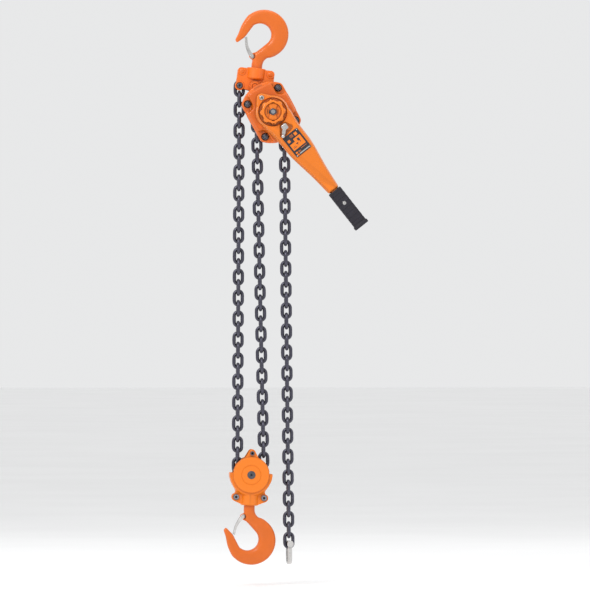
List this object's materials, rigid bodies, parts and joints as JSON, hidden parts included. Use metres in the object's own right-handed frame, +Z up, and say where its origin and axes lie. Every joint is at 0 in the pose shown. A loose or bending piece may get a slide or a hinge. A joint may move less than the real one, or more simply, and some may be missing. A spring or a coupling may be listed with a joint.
{
  "type": "lever chain hoist",
  "caption": "Lever chain hoist: latched swivel hooks above and below, ratchet lever head, load chain in two falls over a bottom block, and a slack tail with an end stop.",
  "frame": {"origin": "the top hook's seat: the highest point inside its bowl, where the supporting ring bears", "axes": "+Z up along the hanging load line, +X to the right seen from the lever side, -Y towards the lever side; the chain lies in the plane Y = 0"},
  "size_m": [0.4064, 0.199, 1.5917],
  "materials": {
    "hook_paint": "semi-gloss orange enamel over forged steel",
    "lever_paint": "semi-gloss light orange enamel over pressed steel",
    "cover_paint": "semi-gloss orange enamel over pressed steel",
    "chain_steel": "blackened alloy chain, satin with a bluish sheen",
    "black_steel": "black oxide steel",
    "zinc": "bright zinc plate",
    "bright_steel": "machined steel with a film of oil",
    "friction": "brake lining",
    "rubber": "moulded rubber grip",
    "name_plate": null
  },
  "bodies": {
    "top_hook": {"top_hook": "hook_paint", "top_hook_nut": "bright_steel"},
    "top_latch": {"top_latch": "zinc"},
    "yoke": {"yoke_front": "hook_paint", "yoke_rear": "hook_paint", "yoke_rivet_left": "hook_paint", "yoke_rivet_right": "hook_paint", "chain_anchor_pin": "black_steel", "suspension_pin": "bright_steel"},
    "head": {"side_plate_front": "hook_paint", "side_plate_rear": "hook_paint", "stay_bolt_1": "black_steel", "stay_bolt_2": "black_steel", "stay_bolt_3": "black_steel", "stay_bolt_4": "black_steel", "brake_cover": "cover_paint", "gear_cover": "cover_paint", "chain_guide": "black_steel", "bearing_front": "bright_steel", "bearing_rear": "bright_steel", "load_sheave_chain": "chain_steel"},
    "load_sheave": {"load_sheave": "bright_steel", "load_gear": "bright_steel"},
    "reduction_upper": {"reduction_gear_upper": "bright_steel"},
    "reduction_lower": {"reduction_gear_lower": "bright_steel"},
    "main_shaft": {"main_shaft": "bright_steel", "brake_hub": "bright_steel", "friction_disc_inner": "friction", "friction_disc_outer": "friction", "ratchet_wheel": "bright_steel"},
    "hand_wheel": {"changeover_gear": "bright_steel", "hand_wheel": "lever_paint", "hand_wheel_nut": "black_steel"},
    "pawl_left": {"brake_pawl_left": "black_steel"},
    "pawl_right": {"brake_pawl_right": "black_steel"},
    "lever": {"lever_arm": "lever_paint", "lever_back_plate": "lever_paint", "lever_screw": "zinc", "name_plate": "name_plate", "grip": "rubber", "grip_rivet": "zinc"},
    "selector": {"selector_lever": "zinc", "changeover_pawl": "black_steel"},
    "left_fall": {"left_fall_chain": "chain_steel"},
    "middle_link": {"middle_fall_top_link": "chain_steel"},
    "middle_fall": {"middle_fall_chain": "chain_steel"},
    "tail": {"tail_chain": "chain_steel"},
    "end_stop": {"chain_end_stop": "zinc"},
    "block": {"block_shell_front": "lever_paint", "block_shell_rear": "lever_paint", "block_bolt_top": "black_steel", "block_bolt_left": "black_steel", "block_bolt_right": "black_steel", "idler_axle": "black_steel", "idler_sheave_chain": "chain_steel"},
    "idler_sheave": {"idler_sheave": "bright_steel"},
    "bottom_hook": {"bottom_hook": "hook_paint", "bottom_hook_nut": "bright_steel"},
    "bottom_latch": {"bottom_latch": "zinc"}
  },
  "joints": [
    {"name": "top_latch_swing", "type": "hinge", "parent": "top_hook", "child": "top_latch", "pos_m": [-0.02398, 0, -0.09334], "axis": [0, 1, 0], "range_deg": [0, 34], "stiffness_Nm_per_rad": 0.1, "springref_deg": -28.65},
    {"name": "yoke_swivel", "type": "hinge", "parent": "top_hook", "child": "yoke", "pos_m": [-0.01007, 0, -0.12779], "axis": [0.1219, 0, 0.9925], "continuous": true},
    {"name": "head_tilt", "type": "hinge", "parent": "yoke", "child": "head", "pos_m": [-0.01665, 0, -0.18138], "axis": [0, 1, 0], "range_deg": [-10, 0]},
    {"name": "load_sheave_spin", "type": "hinge", "parent": "head", "child": "load_sheave", "pos_m": [0.029, 0, -0.256], "axis": [0, 1, 0], "continuous": true},
    {"name": "reduction_upper_spin", "type": "hinge", "parent": "head", "child": "reduction_upper", "pos_m": [0.00902, 0.038, -0.21905], "axis": [0, 1, 0], "continuous": true},
    {"name": "reduction_lower_spin", "type": "hinge", "parent": "head", "child": "reduction_lower", "pos_m": [0.04898, 0.038, -0.29295], "axis": [0, 1, 0], "continuous": true},
    {"name": "main_shaft_spin", "type": "hinge", "parent": "head", "child": "main_shaft", "pos_m": [0.029, -0.04, -0.256], "axis": [0, 1, 0], "continuous": true},
    {"name": "hand_wheel_pull", "type": "slide", "parent": "main_shaft", "child": "hand_wheel", "axis": [0, -1, 0], "range_m": [0, 0.005]},
    {"name": "pawl_left_swing", "type": "hinge", "parent": "head", "child": "pawl_left", "pos_m": [-0.01196, -0.042, -0.29211], "axis": [0, 1, 0], "range_deg": [0, 11.5]},
    {"name": "pawl_right_swing", "type": "hinge", "parent": "head", "child": "pawl_right", "pos_m": [0.06996, -0.042, -0.21989], "axis": [0, 1, 0], "range_deg": [0, 11.5]},
    {"name": "lever_swing", "type": "hinge", "parent": "head", "child": "lever", "pos_m": [0.029, -0.09, -0.256], "axis": [0, 1, 0], "continuous": true},
    {"name": "selector_turn", "type": "hinge", "parent": "lever", "child": "selector", "pos_m": [0.06309, -0.1, -0.29916], "axis": [0, 1, 0], "range_deg": [-96, 0]},
    {"name": "falls_swing", "type": "hinge", "parent": "yoke", "child": "left_fall", "pos_m": [-0.05958, 0, -0.17813], "axis": [0, 1, 0], "range_deg": [0, 5]},
    {"name": "block_level", "type": "hinge", "parent": "left_fall", "child": "block", "pos_m": [-0.0651, 0, -1.294], "axis": [0, 1, 0], "range_deg": [-3.2, 0]},
    {"name": "middle_link_swing", "type": "hinge", "parent": "head", "child": "middle_link", "pos_m": [-0.011, 0, -0.256], "axis": [0, 1, 0], "range_deg": [0, 11]},
    {"name": "middle_fall_swing", "type": "hinge", "parent": "middle_link", "child": "middle_fall", "pos_m": [-0.01036, 0, -0.28599], "axis": [0, 1, 0], "range_deg": [0, 5.6]},
    {"name": "tail_swing", "type": "hinge", "parent": "head", "child": "tail", "pos_m": [0.069, 0, -0.256], "axis": [0, 1, 0], "range_deg": [0, 10]},
    {"name": "end_stop_swing", "type": "hinge", "parent": "tail", "child": "end_stop", "pos_m": [0.08295, 0, -1.4924], "axis": [0, 1, 0], "range_deg": [-40, 40]},
    {"name": "idler_sheave_spin", "type": "hinge", "parent": "block", "child": "idler_sheave", "pos_m": [-0.0269, 0, -1.294], "axis": [0, 1, 0], "continuous": true},
    {"name": "bottom_hook_swivel", "type": "hinge", "parent": "block", "child": "bottom_hook", "pos_m": [-0.03084, 0, -1.38241], "axis": [0.0445, 0, 0.999], "continuous": true},
    {"name": "bottom_latch_swing", "type": "hinge", "parent": "bottom_hook", "child": "bottom_latch", "pos_m": [-0.05027, 0, -1.41408], "axis": [0, 1, 0], "range_deg": [-34, 0], "stiffness_Nm_per_rad": 0.1, "springref_deg": 28.65}
  ],
  "couplings": [
    {"joint": "reduction_upper_spin", "follows": "load_sheave_spin", "ratio": -2},
    {"joint": "reduction_lower_spin", "follows": "load_sheave_spin", "ratio": -2},
    {"joint": "main_shaft_spin", "follows": "load_sheave_spin", "ratio": 6},
    {"joint": "block_level", "follows": "falls_swing", "ratio": -0.6139},
    {"joint": "middle_fall_swing", "follows": "falls_swing", "ratio": 1.107},
    {"joint": "middle_link_swing", "follows": "head_tilt", "ratio": -1.0719},
    {"joint": "tail_swing", "follows": "head_tilt", "ratio": -1}
  ]
}
